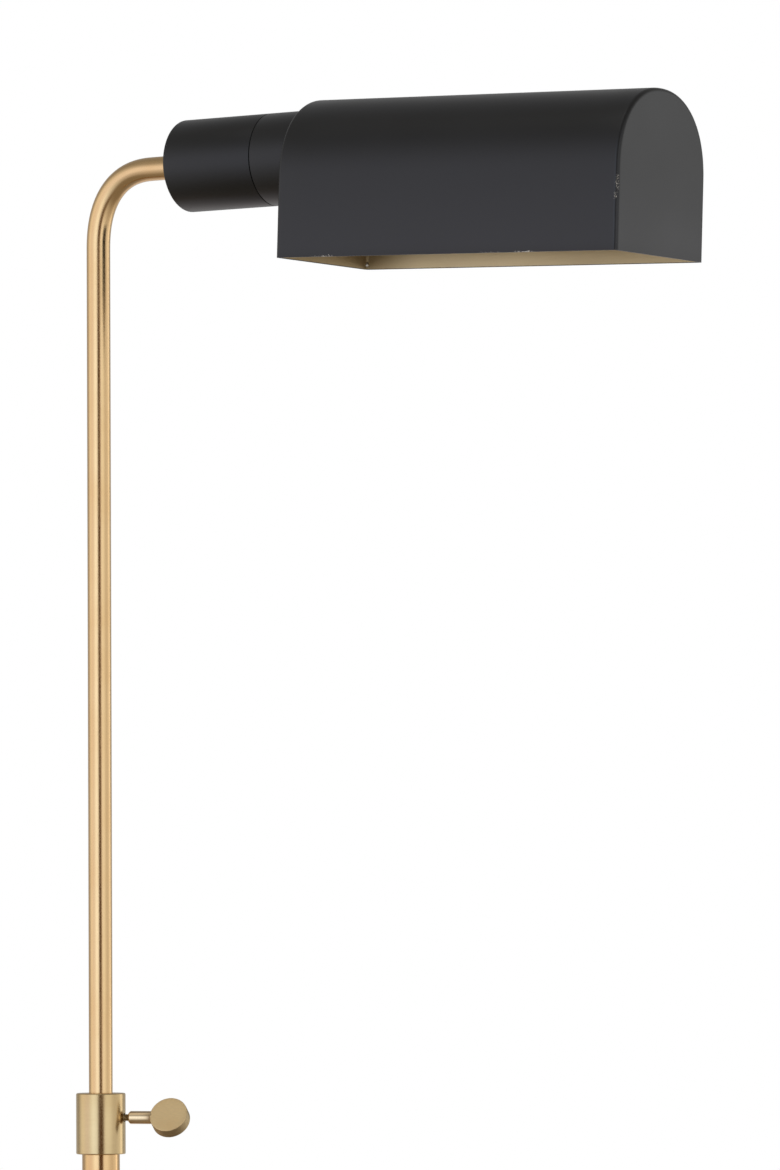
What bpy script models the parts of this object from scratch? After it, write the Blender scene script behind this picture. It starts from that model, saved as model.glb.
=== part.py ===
"""Pharmacy floor lamp: weighted round base, two-part telescopic brass post with a thumbscrew collar,
bent arm, black socket housing and a black arched shade that swivels about the neck.

Frame: origin under the middle of the base on the post's axis, +Z up, arm and shade along +X.
Units are metres in Blender; the constants below are in millimetres and MM turns them into metres.
"""

import math

import bmesh
import bpy
from mathutils import Matrix, Vector

MM = 0.001
GAP = 0.3  # running gap between neighbouring solids

# ---- base
BASE_R = 127.0
COVER_TOP = 19.0
COVER_T = 1.2
EDGE_R = 6.0
PAD_R = 123.0
PAD_T = 2.0
WEIGHT_R = 125.4
WEIGHT_TOP = 17.4
NIPPLE_R = 5.0
NIPPLE_BORE = 3.8
CORD_Z = 9.0
CORD_HOLE_R = 4.7
CORD_BORE = 3.1

# ---- post
TUBE_R = 9.45
TUBE_BORE = 8.3
TUBE_BOTTOM = 27.3
TUBE_TOP = 745.0
COLLAR_R = 12.4
COLLAR_BOTTOM = 735.0
COLLAR_TOP = 765.5
SCREW_Z = 753.3
STEM_R = 5.95
STEM_BORE = 4.95
STEM_BOTTOM = 588.0
STEM_REACH = 462.9  # collar top to the arm's axis
ARM_Z = COLLAR_TOP + STEM_REACH
BEND_X = 34.2  # horizontal extent of the arm's bend
BEND_Z = 39.6  # vertical extent of the arm's bend
BEND_N = 2.42  # superellipse exponent: tighter in the middle than a true arc
SLIDE_DOWN = 400.0
SLIDE_UP = 100.0

# ---- thumbscrew
SCREW_AZIMUTH = math.radians(18.1)
PADDLE_TILT = math.radians(32.5)  # rest angle of the paddle about the screw
PADDLE_R = 9.67
PADDLE_T = 6.3
PADDLE_REACH = 36.14
BARREL_R = 3.25

# ---- socket housing and swivel, measured along the arm's axis
NECK_R = 23.0
NECK_BORE = 21.8
HOUSING_BACK = 55.5
SEAM_X = 107.7
SLEEVE_R = 19.2
SLEEVE_BORE = 17.7

# ---- shade
SHADE_L = 195.0
SHADE_W = 80.8
SHADE_H = 80.6
SHADE_RISE = 39.2  # height of the straight walls
SHADE_N = 2.2  # superellipse exponent of the arch: a little fuller than a true arc
SHADE_T = 1.0
SHADE_X = 135.15  # lower edge of the rear plate
SHADE_DROP = 53.3  # arm's axis down to the lower edge of the rear plate
SHADE_DROOP = math.radians(2.1)  # nose-down set of the shade on its neck

BRASS = (0.72, 0.50, 0.23)
COLLAR_BRASS = (0.66, 0.52, 0.29)
BLACK = (0.028, 0.028, 0.030)


def clear_scene():
    for obj in list(bpy.data.objects):
        bpy.data.objects.remove(obj, do_unlink=True)
    for block in list(bpy.data.meshes):
        bpy.data.meshes.remove(block)


def new_collection(name, hidden=False):
    made = bpy.data.collections.new(name)
    bpy.context.scene.collection.children.link(made)
    made.hide_render = hidden
    return made


def material(name, color, roughness, metallic=0.0, alpha=1.0):
    found = bpy.data.materials.get(name)
    if found:
        return found
    made = bpy.data.materials.new(name)
    made.use_nodes = True
    shader = made.node_tree.nodes["Principled BSDF"]
    shader.inputs["Base Color"].default_value = (*color, 1.0)
    shader.inputs["Roughness"].default_value = roughness
    shader.inputs["Metallic"].default_value = metallic
    shader.inputs["Alpha"].default_value = alpha
    made.diffuse_color = (*color, 1.0)
    return made


clear_scene()
LAMP = new_collection("pharmacy_floor_lamp")
CUTTERS = new_collection("cutters", hidden=True)

M_BRASS = material("satin_brass", BRASS, 0.28, 1.0)
M_COLLAR = material("turned_brass", COLLAR_BRASS, 0.32, 1.0)
M_BLACK = material("satin_black", BLACK, 0.45)
M_IRON = material("cast_iron", (0.06, 0.06, 0.065), 0.7, 0.6)
M_STEEL = material("zinc_steel", (0.55, 0.56, 0.58), 0.35, 1.0)
M_FELT = material("black_felt", (0.02, 0.02, 0.02), 0.95)
M_NYLON = material("nylon", (0.80, 0.78, 0.72), 0.5)
M_RUBBER = material("black_rubber", (0.02, 0.02, 0.02), 0.7)
M_PHENOLIC = material("phenolic", (0.03, 0.025, 0.02), 0.4)
M_GLASS = material("frosted_glass", (0.92, 0.92, 0.90), 0.5, 0.0, 0.5)
M_NICKEL = material("nickel", (0.66, 0.62, 0.56), 0.25, 1.0)
M_PVC = material("clear_brown_pvc", (0.25, 0.17, 0.08), 0.4)
M_TUNGSTEN = material("tungsten", (0.25, 0.25, 0.26), 0.4, 1.0)


def empty(name, place, parent=None, turn_y=0.0):
    """An empty on a joint's axis or at a sub-assembly's own origin; place is in its parent's frame, in millimetres."""
    made = bpy.data.objects.new(name, None)
    LAMP.objects.link(made)
    made.parent = parent
    made.location = Vector(place) * MM
    made.rotation_euler = (0.0, turn_y, 0.0)
    made.empty_display_size = 0.02
    return made


AT_SLIDE = empty("height_slide", (0, 0, COLLAR_TOP))
AT_TURN = empty("stem_turn", (0, 0, 0), AT_SLIDE)
AT_SWIVEL = empty("shade_swivel", (SEAM_X, 0, STEM_REACH), AT_TURN)
AT_SHADE = empty("shade_frame", (SHADE_X - SEAM_X, 0, -SHADE_DROP), AT_SWIVEL, SHADE_DROOP)
AT_SCREW = empty("clamp_screw_axis", (0, 0, SCREW_Z))
bpy.context.view_layer.update()

OUTWARD = Vector((math.cos(SCREW_AZIMUTH), math.sin(SCREW_AZIMUTH), 0.0))
UP = Vector((0.0, 0.0, 1.0))
# columns are the local X, Y and Z axes
ALONG_X = Matrix(((0, 0, 1), (0, 1, 0), (-1, 0, 0)))  # local Z along +X, local X down
ALONG_SCREW = Matrix((UP, OUTWARD.cross(UP), OUTWARD)).transposed()  # local Z outward
PROFILE_X = Matrix(((0, 0, 1), (1, 0, 0), (0, 1, 0)))  # local X to +Y, local Y to +Z, local Z to +X


def put(obj, mat, parent=None, world=(0, 0, 0), turn=None, collection=None):
    """Parents obj, and places it at a point of the lamp's own frame (millimetres)."""
    (collection or LAMP).objects.link(obj)
    if mat:
        obj.data.materials.append(mat)
    spot = Vector(world) * MM
    if parent:
        obj.parent = parent
        spot = parent.matrix_world.inverted() @ spot if parent is not AT_SHADE else spot
    obj.location = spot
    if turn is not None:
        obj.rotation_euler = turn.to_euler()
    return obj


def turned(name, profile, mat, steps=32, closed=True, **where):
    """A turned piece. The profile is (radius, height) in millimetres, down its outer side first."""
    mesh = bpy.data.meshes.new(name)
    count = len(profile)
    edges = [(i, i + 1) for i in range(count - 1)] + ([(count - 1, 0)] if closed else [])
    mesh.from_pydata([(r * MM, 0.0, h * MM) for r, h in profile], edges, [])
    obj = bpy.data.objects.new(name, mesh)
    screw = obj.modifiers.new("turn", "SCREW")
    screw.axis = "Z"
    screw.angle = 2 * math.pi
    screw.steps = screw.render_steps = steps
    screw.use_merge_vertices = True
    screw.merge_threshold = 1e-6
    screw.use_smooth_shade = False
    return put(obj, mat, **where)


def quarter(cx, cz, radius, start, end, count):
    """Points of an arc about (cx, cz), angles in degrees from +radius towards +height."""
    return [
        (cx + radius * math.cos(math.radians(a)), cz + radius * math.sin(math.radians(a)))
        for a in (start + (end - start) * i / count for i in range(count + 1))
    ]


def cutter(name, kind, size, world, turn=None, parent=None, sides=24):
    bm = bmesh.new()
    if kind == "cylinder":  # size is (radius, length)
        bmesh.ops.create_cone(bm, cap_ends=True, segments=sides, radius1=size[0] * MM, radius2=size[0] * MM, depth=size[1] * MM)
    else:  # size is (x, y, z)
        bmesh.ops.create_cube(bm, size=1.0, matrix=Matrix.Diagonal((*[s * MM for s in size], 1.0)))
    mesh = bpy.data.meshes.new(name)
    bm.to_mesh(mesh)
    bm.free()
    obj = put(bpy.data.objects.new(name, mesh), None, parent, world, turn, CUTTERS)
    obj.hide_render = True
    obj.display_type = "WIRE"
    return obj


def cut(obj, tool, operation="DIFFERENCE"):
    made = obj.modifiers.new(tool.name, "BOOLEAN")
    made.operation = operation
    made.solver = "EXACT"
    made.object = tool
    return obj


def tube_curve(name, points, radius, resolution):
    """A round bar along points (millimetres), as a curve with filled caps."""
    curve = bpy.data.curves.new(name, "CURVE")
    curve.dimensions = "3D"
    curve.twist_mode = "Z_UP" if len(points) < 3 else "MINIMUM"
    curve.bevel_depth = radius * MM
    curve.bevel_resolution = resolution
    curve.use_fill_caps = True
    spline = curve.splines.new("POLY")
    spline.points.add(len(points) - 1)
    for point, place in zip(spline.points, points):
        point.co = (place[0] * MM, place[1] * MM, place[2] * MM, 1.0)
    return bpy.data.objects.new(name, curve)


def curve_mesh(name, points, radius, resolution):
    """The same bar as a closed mesh, for a Boolean."""
    guide = tube_curve(name + "_guide", points, radius, resolution)
    bpy.context.scene.collection.objects.link(guide)
    bpy.context.view_layer.update()
    mesh = bpy.data.meshes.new_from_object(guide.evaluated_get(bpy.context.evaluated_depsgraph_get()))
    mesh.name = name
    bpy.data.objects.remove(guide, do_unlink=True)
    bm = bmesh.new()
    bm.from_mesh(mesh)
    bmesh.ops.remove_doubles(bm, verts=bm.verts, dist=1e-6)
    bmesh.ops.recalc_face_normals(bm, faces=bm.faces)
    bm.to_mesh(mesh)
    bm.free()
    mesh.materials.clear()
    return bpy.data.objects.new(name, mesh)


def hex_nut(name, flats, low, high, bore, mat, **where):
    bm = bmesh.new()
    bmesh.ops.create_cone(
        bm, cap_ends=True, segments=6, radius1=flats / math.sqrt(3) * MM, radius2=flats / math.sqrt(3) * MM,
        depth=(high - low) * MM, matrix=Matrix.Translation((0, 0, (low + high) / 2 * MM)),
    )
    mesh = bpy.data.meshes.new(name)
    bm.to_mesh(mesh)
    bm.free()
    obj = put(bpy.data.objects.new(name, mesh), mat, **where)
    tool = cutter(name + "_bore", "cylinder", (bore, (high - low) + 10), (0, 0, 0))
    tool.parent = obj
    tool.location = (0, 0, (low + high) / 2 * MM)
    return cut(obj, tool)


def screw_head(name, radius, height, mat, world, turn, parent=None):
    """A slotted cheese head standing on its local Z, from 0 to height."""
    obj = turned(
        name,
        [(0, height), (radius - 0.3, height), (radius, height - 0.3), (radius, 0), (0, 0)],
        mat, steps=20, closed=False, parent=parent, world=world, turn=turn,
    )
    tool = cutter(name + "_slot", "box", (radius * 3, radius * 0.36, height), (0, 0, 0))
    tool.parent = obj
    tool.location = (0, 0, (height + height * 0.5) * MM)
    return cut(obj, tool)


# ------------------------------------------------------------------ base
turned("floor_pad", [(0, PAD_T), (PAD_R, PAD_T), (PAD_R, 0), (0, 0)], M_FELT, steps=48, closed=False)

weight_edge = EDGE_R - COVER_T - 0.4
weight = turned(
    "base_weight",
    [(NIPPLE_R + GAP, WEIGHT_TOP), (WEIGHT_R - weight_edge, WEIGHT_TOP)]
    + quarter(WEIGHT_R - weight_edge, WEIGHT_TOP - weight_edge, weight_edge, 90, 0, 3)[1:]
    + [(WEIGHT_R, PAD_T + GAP), (22, PAD_T + GAP), (22, 10.6), (NIPPLE_R + GAP, 10.6)],
    M_IRON, steps=40,
)
cut(weight, cutter("cord_channel", "box", (130, 10, 11.7), (-80, 0, 8.15)))
cut(weight, cutter("cord_notch", "box", (28, 17, 24), (-122, 0, 10)))  # clears the bush's inner end

cover_edge_in = EDGE_R - COVER_T
cover = turned(
    "base_cover",
    [(NIPPLE_R + GAP, COVER_TOP), (BASE_R - EDGE_R, COVER_TOP)]
    + quarter(BASE_R - EDGE_R, COVER_TOP - EDGE_R, EDGE_R, 90, 0, 3)[1:]
    + [(BASE_R, 1.0), (BASE_R - COVER_T, 1.0)]
    + quarter(BASE_R - EDGE_R, COVER_TOP - EDGE_R, cover_edge_in, 0, 90, 3)
    + [(NIPPLE_R + GAP, COVER_TOP - COVER_T)],
    M_BRASS, steps=48,
)
cut(cover, cutter("cord_hole", "cylinder", (CORD_HOLE_R, 12), (-BASE_R, 0, CORD_Z), ALONG_X))

turned(
    "cord_bush",
    [(CORD_HOLE_R - GAP, -118), (CORD_HOLE_R - GAP, -BASE_R - GAP), (6.4, -BASE_R - GAP), (6.4, -129.2), (5.4, -130.2),
     (CORD_BORE, -130.2), (CORD_BORE, -118)],
    M_RUBBER, steps=20, world=(0, 0, CORD_Z), turn=ALONG_X,
)
turned("base_washer", [(16, 10.3), (16, 9.0), (NIPPLE_R + GAP, 9.0), (NIPPLE_R + GAP, 10.3)], M_STEEL, steps=24)
hex_nut("base_nut", 17.0, 3.6, 8.7, NIPPLE_R + GAP, M_STEEL)
turned(
    "base_nipple",
    [(NIPPLE_R, 38.0), (NIPPLE_R, 3.0), (NIPPLE_BORE, 3.0), (NIPPLE_BORE, 38.0)],
    M_STEEL, steps=24,
)

# ------------------------------------------------------------------ post
turned(
    "pole_socket",
    [(TUBE_R + GAP, 42.0), (12.0, 42.0), (12.9, 41.1), (12.9, 31.0)]
    + quarter(20.0, 31.0, 7.1, 180, 250, 4)[1:]
    + [(19.4, 24.0), (20.2, 23.2), (20.2, 20.3), (19.2, COVER_TOP + GAP), (NIPPLE_R + GAP, COVER_TOP + GAP),
       (NIPPLE_R + GAP, 27.0), (TUBE_R + GAP, 27.0)],
    M_COLLAR, steps=28,
)
turned(
    "tube_coupling",
    [(TUBE_BORE - GAP, 41.0), (TUBE_BORE - GAP, TUBE_BOTTOM), (NIPPLE_R + GAP, TUBE_BOTTOM), (NIPPLE_R + GAP, 41.0)],
    M_COLLAR, steps=24,
)
turned(
    "outer_tube",
    [(TUBE_R, TUBE_TOP), (TUBE_R, TUBE_BOTTOM), (TUBE_BORE, TUBE_BOTTOM), (TUBE_BORE, TUBE_TOP)],
    M_BRASS, steps=32,
)
turned(
    "guide_bush",
    [(TUBE_BORE - GAP, 744.6), (TUBE_BORE - GAP, 727.0), (STEM_R + 0.35, 727.0), (STEM_R + 0.35, 744.6)],
    M_NYLON, steps=24,
)
collar = turned(
    "height_collar",
    [(STEM_R + 0.35, COLLAR_TOP), (COLLAR_R - 0.7, COLLAR_TOP), (COLLAR_R, COLLAR_TOP - 0.7), (COLLAR_R, COLLAR_BOTTOM + 0.7),
     (COLLAR_R - 0.7, COLLAR_BOTTOM), (TUBE_R + GAP, COLLAR_BOTTOM), (TUBE_R + GAP, TUBE_TOP + GAP),
     (STEM_R + 0.35, TUBE_TOP + GAP)],
    M_COLLAR, steps=32,
)
cut(collar, cutter("screw_hole", "cylinder", (2.2, 12), tuple(OUTWARD * 10 + UP * SCREW_Z), ALONG_SCREW))

# ------------------------------------------------------------------ thumbscrew
turned(
    "clamp_pad", [(0, 8.6), (1.8, 8.6), (1.8, STEM_R + 0.35), (0, STEM_R + 0.35)], M_NYLON,
    steps=20, closed=False, parent=AT_SCREW, world=(0, 0, SCREW_Z), turn=ALONG_SCREW,
)
rim = PADDLE_REACH - PADDLE_R
turned(
    "clamp_screw",
    [(0, 31.0), (1.6, 31.0), (1.6, rim - 0.9), (BARREL_R, rim - 0.9), (BARREL_R, 15.6), (BARREL_R - 0.7, 14.9),
     (1.85, 14.9), (1.85, 8.9), (0, 8.9)],
    M_COLLAR, steps=24, closed=False, parent=AT_SCREW, world=(0, 0, SCREW_Z), turn=ALONG_SCREW,
)
side_on = OUTWARD.cross(UP)  # horizontal, across the screw
paddle_normal = side_on * math.cos(PADDLE_TILT) + UP * math.sin(PADDLE_TILT)
paddle_turn = Matrix((OUTWARD, paddle_normal.cross(OUTWARD), paddle_normal)).transposed()
half = PADDLE_T / 2
paddle = turned(
    "clamp_paddle",
    [(0, half), (PADDLE_R - 0.3, half), (PADDLE_R, half - 0.3), (PADDLE_R, 0.3 - half), (PADDLE_R - 0.3, -half), (0, -half)],
    M_COLLAR, steps=40, closed=False, parent=AT_SCREW, world=tuple(OUTWARD * PADDLE_REACH + UP * SCREW_Z), turn=paddle_turn,
)
cut(paddle, cutter("paddle_hole", "cylinder", (1.95, 8.0), tuple(OUTWARD * 27.4 + UP * SCREW_Z), ALONG_SCREW, sides=16))

# ------------------------------------------------------------------ glide and stem
turned(
    "glide_bush",
    [(TUBE_BORE - GAP, 621.5), (TUBE_BORE - GAP, 591.5), (STEM_R + GAP, 591.5), (STEM_R + GAP, 621.5)],
    M_NYLON, steps=24, parent=AT_SLIDE,
)
for ring_name, low in (("glide_ring_lower", 589.9), ("glide_ring_upper", 621.8)):
    turned(
        ring_name, [(7.7, low + 1.3), (7.7, low), (STEM_R + GAP, low), (STEM_R + GAP, low + 1.3)],
        M_STEEL, steps=24, parent=AT_TURN,
    )


def stem_path(bottom, end_x, bends=12):
    """The post's axis from its lower end, through the bend and along the arm."""
    points = [(0.0, 0.0, bottom), (0.0, 0.0, ARM_Z - BEND_Z - 0.02)]
    for i in range(1, bends):
        # even steps of a superellipse's angle bunch at its ends, so they are eased
        t = 0.5 * math.pi * i / bends
        c = math.cos(t) ** 2
        s = math.sin(t) ** 2
        scale = (c ** (BEND_N / 2) + s ** (BEND_N / 2)) ** (-1.0 / BEND_N)
        points.append((BEND_X * (1 - math.cos(t) * scale), 0.0, ARM_Z - BEND_Z * (1 - math.sin(t) * scale)))
    points.append((BEND_X + 0.02, 0.0, ARM_Z))
    points.append((end_x, 0.0, ARM_Z))
    return points


stem = curve_mesh("stem_tube", stem_path(STEM_BOTTOM, HOUSING_BACK - GAP), STEM_R, 10)
put(stem, M_BRASS, parent=AT_TURN)
stem_bore = curve_mesh("stem_bore", stem_path(STEM_BOTTOM - 5, HOUSING_BACK + 5), STEM_BORE, 6)
put(stem_bore, None, parent=AT_TURN, collection=CUTTERS)
stem_bore.hide_render = True
stem_bore.display_type = "WIRE"
cut(stem, stem_bore)

lead = tube_curve("lamp_lead", stem_path(STEM_BOTTOM + 4, 73.0, 8), 2.4, 2)
put(lead, M_PVC, parent=AT_TURN)

ARM = dict(parent=AT_TURN, world=(0, 0, ARM_Z), turn=ALONG_X)
turned("arm_nipple", [(4.6, 73.5), (4.6, 40.0), (3.4, 40.0), (3.4, 73.5)], M_STEEL, steps=20, **ARM)
turned("arm_washer", [(9.0, HOUSING_BACK + 3.2), (9.0, HOUSING_BACK + 1.9), (4.9, HOUSING_BACK + 1.9), (4.9, HOUSING_BACK + 3.2)], M_STEEL, steps=20, **ARM)
hex_nut("arm_nut", 14.0, HOUSING_BACK + 3.5, HOUSING_BACK + 7.5, 4.9, M_STEEL, **ARM)
turned(
    "socket_housing",
    [(NECK_R - 0.25, SEAM_X - 0.15), (NECK_R, SEAM_X - 0.4)]
    + quarter(NECK_R - 1.2, HOUSING_BACK + 1.2, 1.2, 0, -90, 2)
    + [(4.9, HOUSING_BACK), (4.9, HOUSING_BACK + 1.6), (NECK_BORE, HOUSING_BACK + 1.6), (NECK_BORE, SEAM_X - 0.15)],
    M_BLACK, steps=40, **ARM,
)
turned("swivel_ring", [(21.5, 107.4), (21.5, 97.5), (19.6, 97.5), (19.6, 107.4)], M_COLLAR, steps=24, **ARM)
turned(
    "stop_pin", [(0, 21.5), (0.7, 21.5), (0.7, 19.7), (0, 19.7)], M_STEEL, steps=12, closed=False,
    parent=AT_TURN, world=(91.3, 0, ARM_Z), turn=Matrix(((1, 0, 0), (0, -1, 0), (0, 0, -1))),
)

# ------------------------------------------------------------------ lampholder and lamp
turned(
    "lampholder_cap",
    [(16.3, 84.0), (16.3, 73.0), (13.5, 70.0), (8.0, 70.0), (8.0, 66.0), (4.9, 66.0), (4.9, 72.0), (13.2, 72.0), (15.0, 74.0), (15.0, 84.0)],
    M_PHENOLIC, steps=24, **ARM,
)
turned(
    "lampholder_body",
    [(0, 87.5), (14.6, 87.5), (14.6, 116.0), (16.3, 116.0), (16.3, 84.3), (0, 84.3)],
    M_PHENOLIC, steps=24, closed=False, **ARM,
)
turned(
    "screw_shell",
    [(14.2, 114.0), (14.2, 87.8), (8.0, 87.8), (8.0, 88.4), (13.6, 88.4), (13.6, 114.0)],
    M_COLLAR, steps=24, **ARM,
)
turned("centre_contact", [(0, 90.0), (2.4, 90.0), (3.4, 89.0), (3.4, 87.8), (0, 87.8)], M_COLLAR, steps=20, closed=False, **ARM)
backward = Matrix(((0, 0, -1), (0, 1, 0), (1, 0, 0)))  # local Z along -X
for side, name in ((1, "terminal_screw_line"), (-1, "terminal_screw_neutral")):
    screw_head(name, 2.4, 2.2, M_COLLAR, (84.0, side * 9.0, ARM_Z), backward, AT_TURN)
for side, name in ((1, "lead_core_line"), (-1, "lead_core_neutral")):
    core = tube_curve(
        name,
        [(73.3, side * 1.1, ARM_Z), (75.6, side * 1.4, ARM_Z), (78.0, side * 3.0, ARM_Z), (79.8, side * 5.4, ARM_Z), (80.5, side * 8.2, ARM_Z)],
        0.8, 2,
    )
    put(core, M_PVC, parent=AT_TURN)

turned("bulb_contact", [(0, 91.7), (4.4, 91.7), (3.4, 90.4), (0, 90.4)], M_NICKEL, steps=20, closed=False, **ARM)
turned("bulb_insulator", [(0, 94.7), (10.2, 94.7), (4.9, 92.0), (0, 92.0)], M_PHENOLIC, steps=24, closed=False, **ARM)
turned(
    "bulb_cap",
    [(13.1, 118.0), (13.1, 97.0), (11.5, 95.0), (4.0, 95.0), (4.0, 95.8), (11.0, 95.8), (12.3, 97.4), (12.3, 118.0)],
    M_NICKEL, steps=20, **ARM,
)
glass_out = [(11.9, 105.0), (11.9, 118.0), (12.4, 120.5), (13.8, 124.0), (15.3, 127.5), (16.0, 131.5), (16.0, 217.0)]
glass_out += quarter(0, 217.0, 16.0, 0, 90, 4)[1:]
glass_in = [(r - 0.9 if r > 0.9 else 0.0, min(h, 232.1)) for r, h in glass_out[:-1]] + [(0.0, 232.1)]
turned("bulb_glass", list(reversed(glass_out)) + glass_in, M_GLASS, steps=20, closed=False, **ARM)
turned("filament_mount", [(0, 150.0), (1.6, 150.0), (2.2, 120.0), (6.0, 108.0), (6.0, 106.0), (0, 106.0)], M_GLASS, steps=16, closed=False, **ARM)
filament = tube_curve(
    "filament",
    [(150.4, 0, ARM_Z), (154, 0, ARM_Z + 5), (178, 0, ARM_Z + 8), (206, 0, ARM_Z + 7), (212, 0, ARM_Z), (206, 0, ARM_Z - 7), (178, 0, ARM_Z - 8), (158, 0, ARM_Z - 6)],
    0.5, 1,
)
put(filament, M_TUNGSTEN, parent=AT_TURN)

# ------------------------------------------------------------------ swivelling neck
NECK = dict(parent=AT_SWIVEL, world=(0, 0, ARM_Z), turn=ALONG_X)
neck = turned(
    "shade_neck",
    [(NECK_R, 143.0), (NECK_R, SEAM_X + 0.4), (NECK_R - 0.25, SEAM_X + 0.15), (SLEEVE_R, SEAM_X + 0.15), (SLEEVE_R, 92.0),
     (SLEEVE_BORE, 92.0), (SLEEVE_BORE, SEAM_X + 1.65), (NECK_BORE, SEAM_X + 1.65), (NECK_BORE, 143.0)],
    M_BLACK, steps=40, **NECK,
)
cut(neck, cutter("neck_trim", "box", (60, 120, 120), (30 - GAP, 0, SHADE_DROP), parent=AT_SHADE))
turned("swivel_nut", [(21.3, 96.1), (21.3, 92.3), (SLEEVE_R + GAP, 92.3), (SLEEVE_R + GAP, 96.1)], M_COLLAR, steps=24, **NECK)
turned("wave_washer", [(21.2, 97.2), (21.2, 96.4), (SLEEVE_R + GAP, 96.4), (SLEEVE_R + GAP, 97.2)], M_STEEL, steps=24, **NECK)
turned(
    "stop_screw", [(0, 1.4), (0.8, 1.4), (0.8, 0), (0, 0)], M_STEEL, steps=12, closed=False,
    parent=AT_SWIVEL, world=(92.0, 0, ARM_Z + 20.4), turn=backward,
)


# ------------------------------------------------------------------ shade
def arch(points):
    """The shade's section, from one lower edge over the top to the other, as (across, up)."""
    half = SHADE_W / 2
    over = SHADE_H - SHADE_RISE
    row = [(-half, 0.0)]
    for i in range(points + 1):
        t = math.pi * i / points
        across = math.copysign(abs(math.cos(t)) ** (2 / SHADE_N), math.cos(t))
        row.append((-half * across, SHADE_RISE + over * abs(math.sin(t)) ** (2 / SHADE_N)))
    return row + [(half, 0.0)]


def plate(name, low, hole=None):
    """A flat end of the shade, SHADE_T thick, standing from low along the shade's length."""
    curve = bpy.data.curves.new(name, "CURVE")
    curve.dimensions = "2D"
    curve.fill_mode = "BOTH"
    curve.extrude = SHADE_T / 2 * MM
    loops = [arch(28)]
    if hole:
        loops.append([(hole * math.cos(2 * math.pi * i / 40), SHADE_DROP / math.cos(SHADE_DROOP) + hole * math.sin(2 * math.pi * i / 40)) for i in range(40)])
    for loop in loops:
        spline = curve.splines.new("POLY")
        spline.points.add(len(loop) - 1)
        spline.use_cyclic_u = True
        for point, (across, up) in zip(spline.points, loop):
            point.co = (across * MM, up * MM, 0.0, 1.0)
    return put(bpy.data.objects.new(name, curve), M_BLACK, AT_SHADE, (low + SHADE_T / 2, 0, 0), PROFILE_X)


plate("shade_rear_plate", 0.0, hole=21.0)
plate("shade_end_plate", SHADE_L - SHADE_T)

bm = bmesh.new()
row = [bm.verts.new((across * MM, up * MM, 0.0)) for across, up in arch(28)]
edges = [bm.edges.new(pair) for pair in zip(row, row[1:])]
made = bmesh.ops.extrude_edge_only(bm, edges=edges)
length = SHADE_L - 2 * (SHADE_T + GAP)
bmesh.ops.translate(bm, verts=[v for v in made["geom"] if isinstance(v, bmesh.types.BMVert)], vec=(0, 0, length * MM))
bmesh.ops.recalc_face_normals(bm, faces=bm.faces)
if sum(f.normal.dot(f.calc_center_median() - Vector((0, 0.03, f.calc_center_median().z))) for f in bm.faces) < 0:
    bmesh.ops.reverse_faces(bm, faces=bm.faces)
mesh = bpy.data.meshes.new("shade_arch")
bm.to_mesh(mesh)
bm.free()
shell = put(bpy.data.objects.new("shade_arch", mesh), M_BLACK, AT_SHADE, (SHADE_T + GAP, 0, 0), PROFILE_X)
solid = shell.modifiers.new("thickness", "SOLIDIFY")
solid.thickness = SHADE_T * MM
solid.offset = -1.0
solid.use_even_offset = True
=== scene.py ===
"""Looks of the pharmacy floor lamp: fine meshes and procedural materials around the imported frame."""
import math

import bmesh
import bpy
from mathutils import Matrix, Vector


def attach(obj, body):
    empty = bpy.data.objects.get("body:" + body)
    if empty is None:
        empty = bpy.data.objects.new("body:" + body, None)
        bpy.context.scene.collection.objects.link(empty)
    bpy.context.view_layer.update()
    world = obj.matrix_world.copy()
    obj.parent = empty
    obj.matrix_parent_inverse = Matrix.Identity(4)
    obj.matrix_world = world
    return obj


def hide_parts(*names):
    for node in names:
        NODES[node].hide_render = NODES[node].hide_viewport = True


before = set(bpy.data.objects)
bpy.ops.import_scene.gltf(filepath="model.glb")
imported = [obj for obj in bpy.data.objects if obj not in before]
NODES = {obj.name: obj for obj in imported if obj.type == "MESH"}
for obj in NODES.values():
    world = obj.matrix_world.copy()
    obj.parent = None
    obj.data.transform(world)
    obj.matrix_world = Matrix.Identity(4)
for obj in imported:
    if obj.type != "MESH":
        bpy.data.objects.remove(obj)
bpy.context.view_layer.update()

MM = 0.001
# the sizes of part.py, in millimetres
BASE_R, COVER_TOP, COVER_T, EDGE_R = 127.0, 19.0, 1.2, 6.0
PAD_R, PAD_T = 123.0, 2.0
NIPPLE_R = 5.0
CORD_Z, CORD_HOLE_R, CORD_BORE = 9.0, 4.7, 3.1
TUBE_R, TUBE_BORE, TUBE_BOTTOM, TUBE_TOP = 9.45, 8.3, 27.3, 745.0
COLLAR_R, COLLAR_BOTTOM, COLLAR_TOP = 12.4, 735.0, 765.5
SCREW_Z = 753.3
STEM_R, STEM_BORE, STEM_BOTTOM = 5.95, 4.95, 588.0
ARM_Z = COLLAR_TOP + 462.9
BEND_X, BEND_Z, BEND_N = 34.2, 39.6, 2.42
SCREW_AZIMUTH, PADDLE_TILT = math.radians(18.1), math.radians(32.5)
PADDLE_R, PADDLE_T, PADDLE_REACH, BARREL_R = 9.67, 6.3, 36.14, 3.25
NECK_R, NECK_BORE, HOUSING_BACK, SEAM_X = 23.0, 21.8, 55.5, 107.7
SLEEVE_R, SLEEVE_BORE = 19.2, 17.7
SHADE_L, SHADE_W, SHADE_H, SHADE_T = 195.0, 80.8, 80.6, 1.0
SHADE_RISE, SHADE_N = 39.2, 2.2
SHADE_X, SHADE_DROP, SHADE_DROOP = 135.15, 53.3, math.radians(2.1)

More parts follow.
